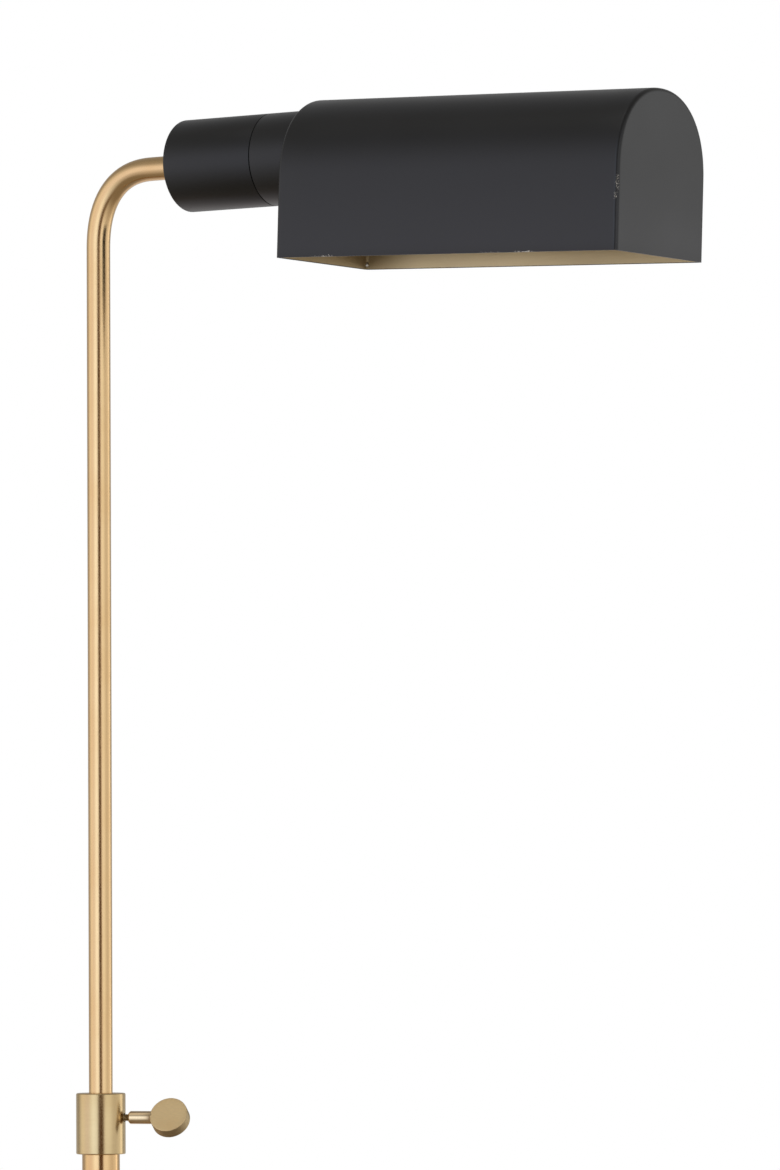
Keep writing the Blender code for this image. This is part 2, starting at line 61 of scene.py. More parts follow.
# ------------------------------------------------------------------ camera
CAM_AZ, CAM_PITCH, CAM_ROLL = math.radians(33.267), math.radians(2.647), math.radians(-0.277)
CAM_F = 6876.0  # focal length in pixels of the 780 x 1170 frame
CAM_DEPTH = 3468.6 * MM  # depth of the arm's axis above the post
CAM_AT = (98.17, 173.22)  # where that point falls in the frame

forward = Vector((-math.sin(CAM_AZ) * math.cos(CAM_PITCH), math.cos(CAM_AZ) * math.cos(CAM_PITCH), math.sin(CAM_PITCH)))
right0 = Vector((math.cos(CAM_AZ), math.sin(CAM_AZ), 0.0))
up0 = right0.cross(forward)
cam_right = right0 * math.cos(CAM_ROLL) + up0 * math.sin(CAM_ROLL)
cam_up = up0 * math.cos(CAM_ROLL) - right0 * math.sin(CAM_ROLL)
anchor = Vector((0, 0, ARM_Z * MM))
cam_place = anchor - (
    cam_right * ((CAM_AT[0] - 390) / CAM_F * CAM_DEPTH) + cam_up * (-(CAM_AT[1] - 585) / CAM_F * CAM_DEPTH) + forward * CAM_DEPTH
)
cam_data = bpy.data.cameras.new("camera")
cam_data.sensor_fit = "AUTO"
cam_data.sensor_width = 36.0
cam_data.lens = CAM_F * 36.0 / 1170.0
cam_data.clip_start = 0.01
cam_data.clip_end = 100.0
cam = bpy.data.objects.new("camera", cam_data)
bpy.context.scene.collection.objects.link(cam)
turn = Matrix((cam_right, cam_up, -forward)).transposed().to_4x4()
cam.matrix_world = Matrix.Translation(cam_place) @ turn
bpy.context.scene.camera = cam
bpy.context.scene.view_settings.view_transform = "Standard"


# ------------------------------------------------------------------ node helpers
class Tree:
    """A small helper that adds nodes to a tree and joins them."""

    def __init__(self, tree):
        self.tree = tree
        self.x = -200

    def node(self, kind, **settings):
        made = self.tree.nodes.new(kind)
        made.location = (self.x, 0)
        self.x -= 40
        for key, value in settings.items():
            setattr(made, key, value)
        return made

    def join(self, a, b):
        self.tree.links.new(a, b)

    def set(self, socket, value):
        if isinstance(value, bpy.types.NodeSocket):
            self.join(value, socket)
        else:
            socket.default_value = value

    def math(self, operation, a, b=0.0, c=0.0, clamp=False):
        made = self.node("ShaderNodeMath", operation=operation, use_clamp=clamp)
        for socket, value in zip(made.inputs, (a, b, c)):
            self.set(socket, value)
        return made.outputs[0]

    def ramp(self, value, low, high, to_low=0.0, to_high=1.0, smooth=True):
        made = self.node("ShaderNodeMapRange", interpolation_type="SMOOTHSTEP" if smooth else "LINEAR")
        for socket, v in zip(made.inputs, (value, low, high, to_low, to_high)):
            self.set(socket, v)
        return made.outputs[0]

    def mix(self, factor, a, b, blend="MIX"):
        made = self.node("ShaderNodeMix", data_type="RGBA", blend_type=blend)
        self.set(made.inputs["Factor"], factor)
        for socket, v in ((made.inputs[6], a), (made.inputs[7], b)):
            self.set(socket, v if isinstance(v, bpy.types.NodeSocket) else (*v, 1.0))
        return made.outputs[2]

    def scaled(self, vector, scale):
        made = self.node("ShaderNodeVectorMath", operation="MULTIPLY")
        self.set(made.inputs[0], vector)
        made.inputs[1].default_value = scale
        return made.outputs[0]

    def noise(self, vector, scale, detail=3.0, rough=0.55, distortion=0.0):
        made = self.node("ShaderNodeTexNoise")
        self.set(made.inputs["Vector"], vector)
        made.inputs["Scale"].default_value = scale
        made.inputs["Detail"].default_value = detail
        made.inputs["Roughness"].default_value = rough
        made.inputs["Distortion"].default_value = distortion
        return made.outputs["Fac"]

    def voronoi(self, vector, scale, feature="F1", randomness=1.0):
        made = self.node("ShaderNodeTexVoronoi", feature=feature)
        self.set(made.inputs["Vector"], vector)
        made.inputs["Scale"].default_value = scale
        made.inputs["Randomness"].default_value = randomness
        return made.outputs["Distance"]

    def bump(self, height, strength, distance, normal=None):
        made = self.node("ShaderNodeBump")
        made.inputs["Strength"].default_value = strength
        made.inputs["Distance"].default_value = distance
        self.set(made.inputs["Height"], height)
        if normal is not None:
            self.join(normal, made.inputs["Normal"])
        return made.outputs["Normal"]

    def object_co(self):
        return self.node("ShaderNodeTexCoord").outputs["Object"]

    def attribute_co(self, name):
        return self.node("ShaderNodeAttribute", attribute_name=name).outputs["Vector"]

    def split(self, vector):
        made = self.node("ShaderNodeSeparateXYZ")
        self.join(vector, made.inputs[0])
        return made.outputs

    def fresh(self, x, y, z):
        made = self.node("ShaderNodeCombineXYZ")
        for socket, v in zip(made.inputs, (x, y, z)):
            self.set(socket, v)
        return made.outputs[0]


def material(name, **fixed):
    """A node material: (material, its Tree, its Principled shader). fixed sets plain socket values."""
    made = bpy.data.materials.new(name)
    made.use_nodes = True
    shader = made.node_tree.nodes["Principled BSDF"]
    for key, value in fixed.items():
        shader.inputs[key.replace("_", " ")].default_value = value
    return made, Tree(made.node_tree), shader


def metal(name, color, rough, streak=(1, 1, 1), streak_scale=60.0, co="object", tint=0.10, grain=0.05, coat=0.0, coat_rough=0.15,
          blotch=0.06, bump=0.00001, spots=0.0, drawn=0.0):
    """Brushed or turned metal. streak stretches the grain; tint is the colour's variation and grain the roughness's."""
    made, t, shader = material(name, Metallic=1.0)
    shader.inputs["Coat Weight"].default_value = coat
    shader.inputs["Coat Roughness"].default_value = coat_rough
    where = t.object_co() if co in ("object", "turned") else t.attribute_co(co)
    along = t.scaled(where, streak)
    if co == "turned":  # rings about the axis
        x, y, z = t.split(where)
        radius = t.math("SQRT", t.math("ADD", t.math("MULTIPLY", x, x), t.math("MULTIPLY", y, y)))
        along = t.fresh(radius, z, t.math("MULTIPLY", t.math("ARCTAN2", y, x), 0.0006))
    fine = t.noise(along, streak_scale, 5.0, 0.62)
    broad = t.noise(where, 38.0, 3.0, 0.5)
    dark = tuple(c * (1 - tint) for c in color)
    light = tuple(min(1.0, c * (1 + tint * 0.8)) for c in color)
    tone = t.mix(t.ramp(fine, 0.3, 0.7), dark, light)
    warm = (color[0] * 0.97, color[1] * (1 - blotch * 1.2), color[2] * (1 - blotch * 2.2))
    tone = t.mix(t.ramp(broad, 0.42, 0.72, 0.0, 0.75), tone, warm)
    roughness = t.math("ADD", t.ramp(fine, 0.25, 0.75, rough - grain, rough + grain), t.ramp(broad, 0.3, 0.7, -0.02, 0.03))
    if spots:
        speck = t.ramp(t.voronoi(where, 210.0), 0.0, 0.055, 1.0, 0.0)
        rare = t.ramp(t.noise(where, 90.0, 2.0), 0.60, 0.66)
        mask = t.math("MULTIPLY", speck, rare)
        tone = t.mix(t.math("MULTIPLY", mask, spots), tone, (0.16, 0.10, 0.045))
        roughness = t.math("ADD", roughness, t.math("MULTIPLY", mask, 0.15))
    t.join(tone, shader.inputs["Base Color"])
    t.join(roughness, shader.inputs["Roughness"])
    t.join(t.bump(fine, 0.6, bump), shader.inputs["Normal"])
    if drawn:
        shader.inputs["Anisotropic"].default_value = drawn
    return made


def moulded(name, color, rough, scale=900.0, bump=0.00002, tint=0.12, mottle=60.0, **fixed):
    """Plastic, rubber, felt or cast iron: a fine grain over a slow mottle."""
    made, t, shader = material(name, **fixed)
    where = t.object_co()
    fine = t.noise(where, scale, 4.0, 0.6)
    slow = t.noise(where, mottle, 3.0)
    tone = t.mix(t.ramp(slow, 0.3, 0.7), tuple(c * (1 - tint) for c in color), tuple(min(1.0, c * (1 + tint)) for c in color))
    t.join(tone, shader.inputs["Base Color"])
    t.join(t.math("ADD", t.ramp(fine, 0.3, 0.7, rough - 0.05, rough + 0.05), t.ramp(slow, 0.3, 0.7, -0.03, 0.03)), shader.inputs["Roughness"])
    t.join(t.bump(fine, 0.7, bump), shader.inputs["Normal"])
    return made


def paint_nodes(t, where):
    """Colour, roughness and normal of the satin black paint at these coordinates."""
    grain = t.noise(where, 2600.0, 3.0, 0.6)
    peel = t.noise(where, 420.0, 2.0, 0.5)
    slow = t.noise(where, 16.0, 3.0, 0.5)
    tone = t.mix(t.ramp(slow, 0.3, 0.7), (0.0022, 0.0022, 0.0025), (0.0032, 0.0032, 0.0036))
    rough = t.math("ADD", t.ramp(grain, 0.3, 0.7, 0.31, 0.37), t.ramp(slow, 0.3, 0.7, -0.02, 0.02))
    normal = t.bump(peel, 0.3, 0.00001, t.bump(grain, 0.4, 0.000004))
    return tone, rough, normal


# ------------------------------------------------------------------ materials
BRASS = (0.80, 0.545, 0.285)
TURNED = (0.68, 0.505, 0.265)
m_stem = metal("satin_brass_stem", (0.80, 0.545, 0.275), 0.205, (1, 1, 0.02), 900.0, "axis_co", tint=0.03, grain=0.015, coat=0.15, spots=0.3, bump=0.0000004, drawn=0.5)
m_tube = metal("satin_brass_tube", (0.78, 0.51, 0.245), 0.20, (1, 1, 0.02), 900.0, tint=0.03, grain=0.015, coat=0.15, spots=0.4, bump=0.0000004)
m_cover = metal("satin_brass_spun", BRASS, 0.24, (1, 1, 1), 900.0, "turned", tint=0.05, grain=0.03, coat=0.15, spots=0.1, blotch=0.03, bump=0.000003)
m_collar = metal("turned_brass", TURNED, 0.23, (0.05, 0.05, 1), 2600.0, tint=0.04, grain=0.02, bump=0.000001)
# painted light: the paddle's brass is lighter than the collar's turned brass, standing in for its brightly lit face;
# its higher roughness is the matte finish
m_paddle_painted_light = metal("turned_brass_paddle_painted_light", (0.92, 0.70, 0.385), 0.50, (0.2, 1, 1), 2200.0, tint=0.05, grain=0.03, bump=0.000004)
m_barrel = metal("polished_brass", (0.80, 0.60, 0.36), 0.14, (0.05, 0.05, 1), 2600.0, tint=0.04, grain=0.02, bump=0.000003)
m_rim = metal("turned_brass_rim", (0.50, 0.38, 0.21), 0.36, (1, 1, 0.05), 2200.0, tint=0.10, grain=0.03, bump=0.000002)
# painted shade: the threaded shank's brass is darker than the barrel's, standing in for the shadow it lies in between
# the collar and the barrel
m_thread_painted_shade = metal("threaded_brass_painted_shade", (0.42, 0.30, 0.15), 0.38, (0.05, 0.05, 1), 1500.0, tint=0.2)
m_steel = metal("zinc_steel_fine", (0.56, 0.57, 0.60), 0.30, (1, 1, 1), 300.0, tint=0.12)
m_nickel = metal("nickel_fine", (0.68, 0.64, 0.58), 0.18, (1, 1, 1), 200.0, tint=0.08)
m_tungsten = metal("tungsten_fine", (0.26, 0.26, 0.28), 0.35, (1, 1, 1), 900.0)
m_iron = moulded("cast_iron_fine", (0.055, 0.055, 0.060), 0.62, 700.0, 0.00015, 0.25, Metallic=0.6)
m_felt = moulded("felt_fine", (0.020, 0.020, 0.021), 0.95, 3000.0, 0.0002, 0.35, 240.0)
m_felt.node_tree.nodes["Principled BSDF"].inputs["Sheen Weight"].default_value = 0.5
m_rubber = moulded("rubber_fine", (0.018, 0.018, 0.018), 0.66, 1400.0, 0.00003)
m_nylon = moulded("nylon_fine", (0.78, 0.76, 0.70), 0.46, 1200.0, 0.00002, 0.05)
m_phenolic = moulded("phenolic_fine", (0.022, 0.018, 0.015), 0.34, 1300.0, 0.00002, 0.3)
m_pvc = moulded("sheath_fine", (0.10, 0.065, 0.030), 0.40, 1300.0, 0.00002, 0.15)

m_black, t, shader = material("satin_black_paint")
shader.inputs["Specular IOR Level"].default_value = 0.5
tone, rough, normal = paint_nodes(t, t.object_co())
t.join(tone, shader.inputs["Base Color"])
t.join(rough, shader.inputs["Roughness"])
t.join(normal, shader.inputs["Normal"])


def shade_black():
    """The same paint on the shade, with painted light on its lower part (lighter and bluer towards the lower edge,
    standing in for the walls' reflection there) and chips along the edges where the metal shows. The piece's own
    coordinates run from the rear plate's lower edge.
    """
    made, t, shader = material("satin_black_shade")
    shader.inputs["Specular IOR Level"].default_value = 0.5
    where = t.object_co()
    tone, rough, normal = paint_nodes(t, where)
    x, y, z = t.split(where)
    # painted light: the lower 55 mm of the shade turn lighter and bluer towards the lower edge, standing in for the
    # reflection of the walls there
    tone = t.mix(t.ramp(z, 0.0, 0.055, 0.8, 0.0), tone, (0.0125, 0.0120, 0.0140))
    wander = t.noise(where, 900.0, 3.0, 0.7)
    jitter = t.math("MULTIPLY", t.math("SUBTRACT", wander, 0.5), 0.0022)

    def near(value, centre, half):
        """1 within half of centre, fading to 0."""
        return t.ramp(t.math("ABSOLUTE", t.math("SUBTRACT", value, centre)), half * 0.7, half, 1.0, 0.0)

    def chip(along, centre, half, *edges):
        """A patch of flecks, centred along an edge; edges are (value, where it lies, reach)."""
        mask = near(along, centre, half)
        for value, at, reach in edges:
            mask = t.math("MULTIPLY", mask, near(t.math("ADD", value, jitter), at, reach))
        return mask

    side = -SHADE_W / 2 * MM
    flecks = t.ramp(t.noise(where, 2300.0, 3.0, 0.8), 0.55, 0.61)
    patches = None
    for args in (
        (z, 0.0322, 0.0040, (x, SHADE_L * MM - 0.0004, 0.0007), (y, side, 0.0016)),
        (z, 0.0262, 0.0022, (x, SHADE_L * MM - 0.0014, 0.0008), (y, side, 0.0014)),
        (x, 0.0240, 0.0040, (z, 0.0, 0.0006), (y, side, 0.0016)),
        (x, 0.1250, 0.0070, (z, 0.0, 0.0005), (y, side, 0.0016)),
    ):
        one = chip(*args)
        patches = one if patches is None else t.math("MAXIMUM", patches, one)
    mask = t.math("MULTIPLY", patches, flecks)
    # two worn places on the near lower edge
    dense = t.ramp(t.noise(where, 1500.0, 3.0, 0.75), 0.48, 0.56)
    for args in ((x, 0.0305, 0.0036, (z, 0.0, 0.0007), (y, side, 0.0016)), (x, 0.1430, 0.0062, (z, 0.0, 0.00045), (y, side, 0.0016))):
        mask = t.math("MAXIMUM", mask, t.math("MULTIPLY", chip(*args), dense))
    # a few tiny flecks anywhere along the lower edge
    low = t.ramp(t.math("ADD", z, jitter), 0.0, 0.0007, 1.0, 0.0)
    rare = t.ramp(t.noise(where, 130.0, 2.0), 0.66, 0.70)
    mask = t.math("MAXIMUM", mask, t.math("MULTIPLY", t.math("MULTIPLY", low, rare), flecks))
    t.join(t.mix(mask, tone, (0.54, 0.49, 0.42)), shader.inputs["Base Color"])
    t.join(t.math("ADD", rough, t.math("MULTIPLY", mask, -0.1)), shader.inputs["Roughness"])
    t.join(t.bump(mask, 0.6, -0.00006, normal), shader.inputs["Normal"])
    return made


def shade_gold():
    made, t, shader = material("satin_gold_lining", Metallic=0.85)
    where = t.object_co()
    fine = t.noise(where, 1700.0, 4.0, 0.6)
    slow = t.noise(where, 22.0, 3.0, 0.5)
    drag = t.noise(t.scaled(where, (0.06, 1, 1)), 420.0, 3.0, 0.6)
    tone = t.mix(t.ramp(slow, 0.3, 0.7), (0.74, 0.60, 0.365), (0.80, 0.655, 0.405))
    tone = t.mix(t.ramp(drag, 0.4, 0.75, 0.0, 0.35), tone, (0.68, 0.545, 0.325))
    x, y, z = t.split(where)
    # painted shade: the lining darkens near the rear plate and again towards the end plate, standing in for the shade
    # inside the shade
    tone = t.mix(t.ramp(x, 0.003, 0.035, 0.84, 0.18), tone, (0.27, 0.19, 0.09))
    tone = t.mix(t.ramp(x, 0.080, 0.140, 0.0, 0.32), tone, (0.27, 0.19, 0.09))
    # the black paint laps over the lower rim
    lap = t.ramp(t.math("ADD", z, t.math("MULTIPLY", t.math("SUBTRACT", fine, 0.5), 0.0004)), 0.00020, 0.00036, 1.0, 0.0)
    t.join(t.mix(lap, tone, (0.012, 0.012, 0.012)), shader.inputs["Base Color"])
    t.join(t.ramp(lap, 0.0, 1.0, 0.85, 0.0, smooth=False), shader.inputs["Metallic"])
    t.join(t.math("ADD", t.ramp(fine, 0.3, 0.7, 0.44, 0.54), t.ramp(slow, 0.3, 0.7, -0.03, 0.03)), shader.inputs["Roughness"])
    t.join(t.bump(fine, 0.6, 0.00002), shader.inputs["Normal"])
    return made


m_shade = shade_black()
m_gold = shade_gold()

m_glass, t, shader = material("frosted_glass_fine")
shader.inputs["Base Color"].default_value = (0.93, 0.93, 0.91, 1.0)
shader.inputs["Transmission Weight"].default_value = 0.72
shader.inputs["IOR"].default_value = 1.45
where = t.object_co()
frost = t.noise(where, 1800.0, 3.0, 0.6)
t.join(t.ramp(frost, 0.3, 0.7, 0.34, 0.46), shader.inputs["Roughness"])
t.join(t.mix(t.ramp(t.noise(where, 60.0), 0.3, 0.7), (0.90, 0.90, 0.88), (0.95, 0.95, 0.93)), shader.inputs["Base Color"])
t.join(t.bump(frost, 0.4, 0.00002), shader.inputs["Normal"])


# ------------------------------------------------------------------ mesh helpers
def filleted(profile, closed, segments=4):
    """The profile's points with each (r, h, fillet) corner rounded, as (r, h)."""
    count = len(profile)
    out = []
    for i, corner in enumerate(profile):
        fillet = corner[2] if len(corner) > 2 else 0.0
        here = Vector(corner[:2])
        if fillet <= 0 or (not closed and i in (0, count - 1)):
            out.append(here)
            continue
        before, after = Vector(profile[i - 1][:2]), Vector(profile[(i + 1) % count][:2])
        a, b = (before - here), (after - here)
        angle = a.angle(b)
        reach = min(fillet / math.tan(angle / 2), a.length * 0.49, b.length * 0.49)
        radius = reach * math.tan(angle / 2)
        start, end = here + a.normalized() * reach, here + b.normalized() * reach
        middle = here + (a.normalized() + b.normalized()).normalized() * (radius / math.sin(angle / 2))
        va, vb = start - middle, end - middle
        sweep = va.angle(vb)
        for k in range(segments + 1):
            f = k / segments
            if sweep < 1e-5:
                out.append(start.lerp(end, f))
            else:
                out.append(middle + (va * math.sin((1 - f) * sweep) + vb * math.sin(f * sweep)) / math.sin(sweep))
    return [(max(0.0, p.x), p.y) for p in out]


def finish_mesh(name, bm, mats, place, sharp=38.0):
    bmesh.ops.remove_doubles(bm, verts=bm.verts, dist=1e-7)
    bmesh.ops.recalc_face_normals(bm, faces=bm.faces)
    mesh = bpy.data.meshes.new(name)
    bm.to_mesh(mesh)
    bm.free()
    for m in mats:
        mesh.materials.append(m)
    mesh.shade_smooth()
    mesh.set_sharp_from_angle(angle=math.radians(sharp))
    obj = bpy.data.objects.new(name, mesh)
    bpy.context.scene.collection.objects.link(obj)
    obj.matrix_world = place
    return obj


def lathe(name, profile, steps, mats, place=None, closed=True, segments=4, radius_of=None, pick=None):
    """A turned piece about its local Z. profile is (r, h[, fillet]) in millimetres; radius_of(r, h, angle) may shape it further,
    and pick(r, h) gives a face's material index."""
    points = filleted(profile, closed, segments)
    bm = bmesh.new()
    rings = []
    for r, h in points:
        if r < 1e-6:
            rings.append([bm.verts.new((0, 0, h * MM))])
            continue
        ring = []
        for k in range(steps):
            angle = 2 * math.pi * k / steps
            rr = radius_of(r, h, angle) if radius_of else r
            ring.append(bm.verts.new((rr * math.cos(angle) * MM, rr * math.sin(angle) * MM, h * MM)))
        rings.append(ring)
    pairs = list(zip(range(len(rings)), range(1, len(rings)))) + ([(len(rings) - 1, 0)] if closed else [])
    for i, j in pairs:
        a, b = rings[i], rings[j]
        index = pick((points[i][0] + points[j][0]) / 2, (points[i][1] + points[j][1]) / 2) if pick else 0
        for k in range(steps):
            n = (k + 1) % steps
            if len(a) == 1 and len(b) == 1:
                continue
            if len(a) == 1:
                face = bm.faces.new((a[0], b[k], b[n]))
            elif len(b) == 1:
                face = bm.faces.new((a[k], b[0], a[n]))
            else:
                face = bm.faces.new((a[k], b[k], b[n], a[n]))
            face.material_index = index
    return finish_mesh(name, bm, mats, place or Matrix.Identity(4))


def apply_modifiers(obj):
    bpy.context.view_layer.update()
    graph = bpy.context.evaluated_depsgraph_get()
    mesh = bpy.data.meshes.new_from_object(obj.evaluated_get(graph))
    old = obj.data
    obj.modifiers.clear()
    obj.data = mesh
    bpy.data.meshes.remove(old)
    return obj


def cylinder_tool(name, radius, length, place, steps=48):
    bm = bmesh.new()
    bmesh.ops.create_cone(bm, cap_ends=True, segments=steps, radius1=radius * MM, radius2=radius * MM, depth=length * MM)
    mesh = bpy.data.meshes.new(name)
    bm.to_mesh(mesh)
    bm.free()
    obj = bpy.data.objects.new(name, mesh)
    bpy.context.scene.collection.objects.link(obj)
    obj.matrix_world = place
    return obj


def drill(obj, radius, length, place, steps=48):
    tool = cylinder_tool("tool", radius, length, place, steps)
    made = obj.modifiers.new("drill", "BOOLEAN")
    made.object = tool
    made.operation = "DIFFERENCE"
    made.solver = "EXACT"
    apply_modifiers(obj)
    mesh = tool.data
    bpy.data.objects.remove(tool)
    bpy.data.meshes.remove(mesh)
    obj.data.shade_smooth()
    obj.data.set_sharp_from_angle(angle=math.radians(38))
    return obj


def put(obj, body, slot, *nodes):
    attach(obj, body)
    if nodes:
        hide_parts(*nodes)
    return obj


UP = Vector((0, 0, 1))
OUTWARD = Vector((math.cos(SCREW_AZIMUTH), math.sin(SCREW_AZIMUTH), 0))
ALONG_X = Matrix(((0, 0, 1), (0, 1, 0), (-1, 0, 0))).to_4x4()
AT_ARM = Matrix.Translation((0, 0, ARM_Z * MM)) @ ALONG_X
AT_SCREW = Matrix.Translation((0, 0, SCREW_Z * MM)) @ Matrix((UP, OUTWARD.cross(UP), OUTWARD)).transposed().to_4x4()
normal = OUTWARD.cross(UP) * math.cos(PADDLE_TILT) + UP * math.sin(PADDLE_TILT)
AT_PADDLE = (
    Matrix.Translation((OUTWARD * PADDLE_REACH + UP * SCREW_Z) * MM)
    @ Matrix((OUTWARD, normal.cross(OUTWARD), normal)).transposed().to_4x4()
)
AT_SHADE = Matrix.Translation((SHADE_X * MM, 0, (ARM_Z - SHADE_DROP) * MM)) @ Matrix.Rotation(SHADE_DROOP, 4, "Y")


# ------------------------------------------------------------------ base
pad = lathe("felt_pad", [(0, PAD_T), (PAD_R, PAD_T, 0.5), (PAD_R, 0, 0.3), (0, 0)], 160, [m_felt], closed=False)
put(pad, "stand", "black_felt", "floor_pad")

cover = lathe(
    "spun_base_cover",
    [(NIPPLE_R + 0.3, COVER_TOP), (BASE_R, COVER_TOP, EDGE_R), (BASE_R, 1.0, 0.35), (BASE_R - COVER_T, 1.0, 0.2),
     (BASE_R - COVER_T, COVER_TOP - COVER_T, EDGE_R - COVER_T), (NIPPLE_R + 0.3, COVER_TOP - COVER_T)],
    192, [m_cover], segments=8,
)
drill(cover, CORD_HOLE_R, 12, Matrix.Translation((-BASE_R * MM, 0, CORD_Z * MM)) @ ALONG_X)
put(cover, "stand", "satin_brass", "base_cover")

bush = lathe(
    "cord_bush_moulded",
    [(CORD_HOLE_R - 0.3, -118), (CORD_HOLE_R - 0.3, -BASE_R - 0.3), (6.4, -BASE_R - 0.3, 0.25), (6.4, -129.4, 0.6), (5.3, -130.2, 0.4),
     (CORD_BORE, -130.2, 0.35), (CORD_BORE, -118)],
    64, [m_rubber], Matrix.Translation((0, 0, CORD_Z * MM)) @ ALONG_X,
)
put(bush, "stand", "black_rubber", "cord_bush")

socket = lathe(
    "pole_socket_turned",
    [(TUBE_R + 0.3, 42.0, 0.2), (12.4, 42.0, 0.5), (12.9, 41.0, 0.4), (12.9, 31.0, 6.5), (19.4, 24.2, 2.0), (20.2, 23.4, 0.5),
     (20.2, 20.0, 0.6), (19.2, COVER_TOP + 0.3, 0.3), (NIPPLE_R + 0.3, COVER_TOP + 0.3), (NIPPLE_R + 0.3, 27.0), (TUBE_R + 0.3, 27.0)],
    128, [m_collar], segments=6,
)
put(socket, "stand", "turned_brass", "pole_socket")

# ------------------------------------------------------------------ post
tube = lathe(
    "outer_tube_drawn",
    [(TUBE_R, TUBE_TOP, 0.2), (TUBE_R, 600), (TUBE_R, 450), (TUBE_R, 300), (TUBE_R, 150), (TUBE_R, TUBE_BOTTOM), (TUBE_BORE, TUBE_BOTTOM), (TUBE_BORE, TUBE_TOP, 0.2)],
    96, [m_tube],
)
put(tube, "stand", "satin_brass", "outer_tube")

collar = lathe(
    "height_collar_turned",
    [(STEM_R + 0.35, COLLAR_TOP, 0.35), (COLLAR_R, COLLAR_TOP, 0.75), (COLLAR_R, COLLAR_BOTTOM, 0.6), (TUBE_R + 0.3, COLLAR_BOTTOM, 0.3),
     (TUBE_R + 0.3, TUBE_TOP + 0.3), (STEM_R + 0.35, TUBE_TOP + 0.3)],
    144, [m_collar], segments=5,
)
drill(collar, 2.2, 12, Matrix.Translation((OUTWARD * 10 + UP * SCREW_Z) * MM) @ Matrix((UP, OUTWARD.cross(UP), OUTWARD)).transposed().to_4x4(), 40)
put(collar, "stand", "turned_brass", "height_collar")


def stem_path():
    """(point, direction) along the post's axis, from the stem's lower end to the arm's, in millimetres."""
    points = [Vector((0, 0, STEM_BOTTOM + (ARM_Z - BEND_Z - STEM_BOTTOM) * i / 24)) for i in range(24)]
    for i in range(0, 49):
        t = 0.5 * math.pi * i / 48
        scale = (math.cos(t) ** BEND_N + math.sin(t) ** BEND_N) ** (-1.0 / BEND_N)
        points.append(Vector((BEND_X * (1 - math.cos(t) * scale), 0, ARM_Z - BEND_Z * (1 - math.sin(t) * scale))))
    end = HOUSING_BACK - 0.3
    points += [Vector((BEND_X + (end - BEND_X) * f, 0, ARM_Z)) for f in (0.25, 0.5, 0.75, 1.0)]
    path = []
    for i, p in enumerate(points):
        ahead = points[min(i + 1, len(points) - 1)] - points[max(i - 1, 0)]
        path.append((p, ahead.normalized()))
    return path


def sweep(name, path, outer, inner, steps, mats):
    """A bent tube. Stores in axis_co each point's place as if the tube were straight, so that its grain follows the bend."""
    bm = bmesh.new()
    layer = bm.verts.layers.float_vector.new("axis_co")
    skins = []
    for radius in (outer, inner):
        rings, length, last = [], 0.0, None
        for p, d in path:
            length += (p - last).length if last else 0.0
            last = p
            side = Vector((0, 1, 0))
            over = d.cross(side)
            ring = []
            for k in range(steps):
                a = 2 * math.pi * k / steps
                v = bm.verts.new((p + side * radius * math.cos(a) + over * radius * math.sin(a)) * MM)
                v[layer] = Vector((radius * math.cos(a), radius * math.sin(a), length)) * MM
                ring.append(v)
            rings.append(ring)
        skins.append(rings)
    for rings in skins:
        for a, b in zip(rings, rings[1:]):
            for k in range(steps):
                n = (k + 1) % steps
                bm.faces.new((a[k], a[n], b[n], b[k]))
    for end in (0, -1):
        a, b = skins[0][end], skins[1][end]
        for k in range(steps):
            n = (k + 1) % steps
            bm.faces.new((a[k], a[n], b[n], b[k]))
    return finish_mesh(name, bm, mats, Matrix.Identity(4))


stem = sweep("stem_tube_bent", stem_path(), STEM_R, STEM_BORE, 72, [m_stem])
put(stem, "stem", "satin_brass", "stem_tube")

# ------------------------------------------------------------------ thumbscrew
PITCH = 0.8
shank_end = 14.9


def threaded(r, h, angle):
    if r < 1.6 or r > 2.0 or not 8.95 < h < shank_end - 0.3:
        return r
    phase = (h / PITCH - angle / (2 * math.pi)) % 1.0
    return r - 0.42 * (1 - abs(2 * phase - 1))


shank = [(1.85, shank_end - 0.2 - (shank_end - 9.2) * i / 56) for i in range(57)]
screw = lathe(
    "thumbscrew_turned",
    [(0, 33.0), (1.6, 33.0), (1.6, 30.6), (2.95, 30.6), (2.95, 27.6), (BARREL_R, 27.0), (BARREL_R, 15.7, 0.25), (BARREL_R - 0.75, shank_end, 0.15), (1.85, shank_end)]
    + shank + [(1.3, 8.9), (0, 8.9)],
    56, [m_barrel, m_thread_painted_shade], AT_SCREW, closed=False, radius_of=threaded, pick=lambda r, h: 1 if h < shank_end + 0.01 and r < 2.2 else 0,
)
put(screw, "thumbscrew", "turned_brass", "clamp_screw")

half = PADDLE_T / 2
rim = []
for i in range(37):  # turned ridges round the rim
    h = (half - 0.55) * (1 - 2 * i / 36)
    rim.append((PADDLE_R - 0.10 + 0.10 * math.cos(2 * math.pi * 4.5 * i / 36 + math.pi), h))
disc = lathe(
    "thumbscrew_paddle",
    [(0, half), (PADDLE_R - 3.0, half), (PADDLE_R, half, 0.28)] + rim + [(PADDLE_R, -half, 0.28), (PADDLE_R - 3.0, -half), (0, -half)],
    112, [m_paddle_painted_light, m_rim], AT_PADDLE, closed=False, pick=lambda r, h: 1 if r > PADDLE_R - 0.25 and abs(h) < half - 0.2 else 0,
)
put(disc, "thumbscrew", "turned_brass", "clamp_paddle")

# ------------------------------------------------------------------ housing and neck
housing = lathe(
    "socket_housing_shell",
    [(NECK_R, SEAM_X - 0.15, 0.35), (NECK_R, 80), (NECK_R, HOUSING_BACK, 1.3), (4.9, HOUSING_BACK), (4.9, HOUSING_BACK + 1.6),
     (NECK_BORE, HOUSING_BACK + 1.6, 0.4), (NECK_BORE, SEAM_X - 0.15, 0.15)],
    144, [m_black], AT_ARM, segments=6,
)
put(housing, "stem", "satin_black", "socket_housing")

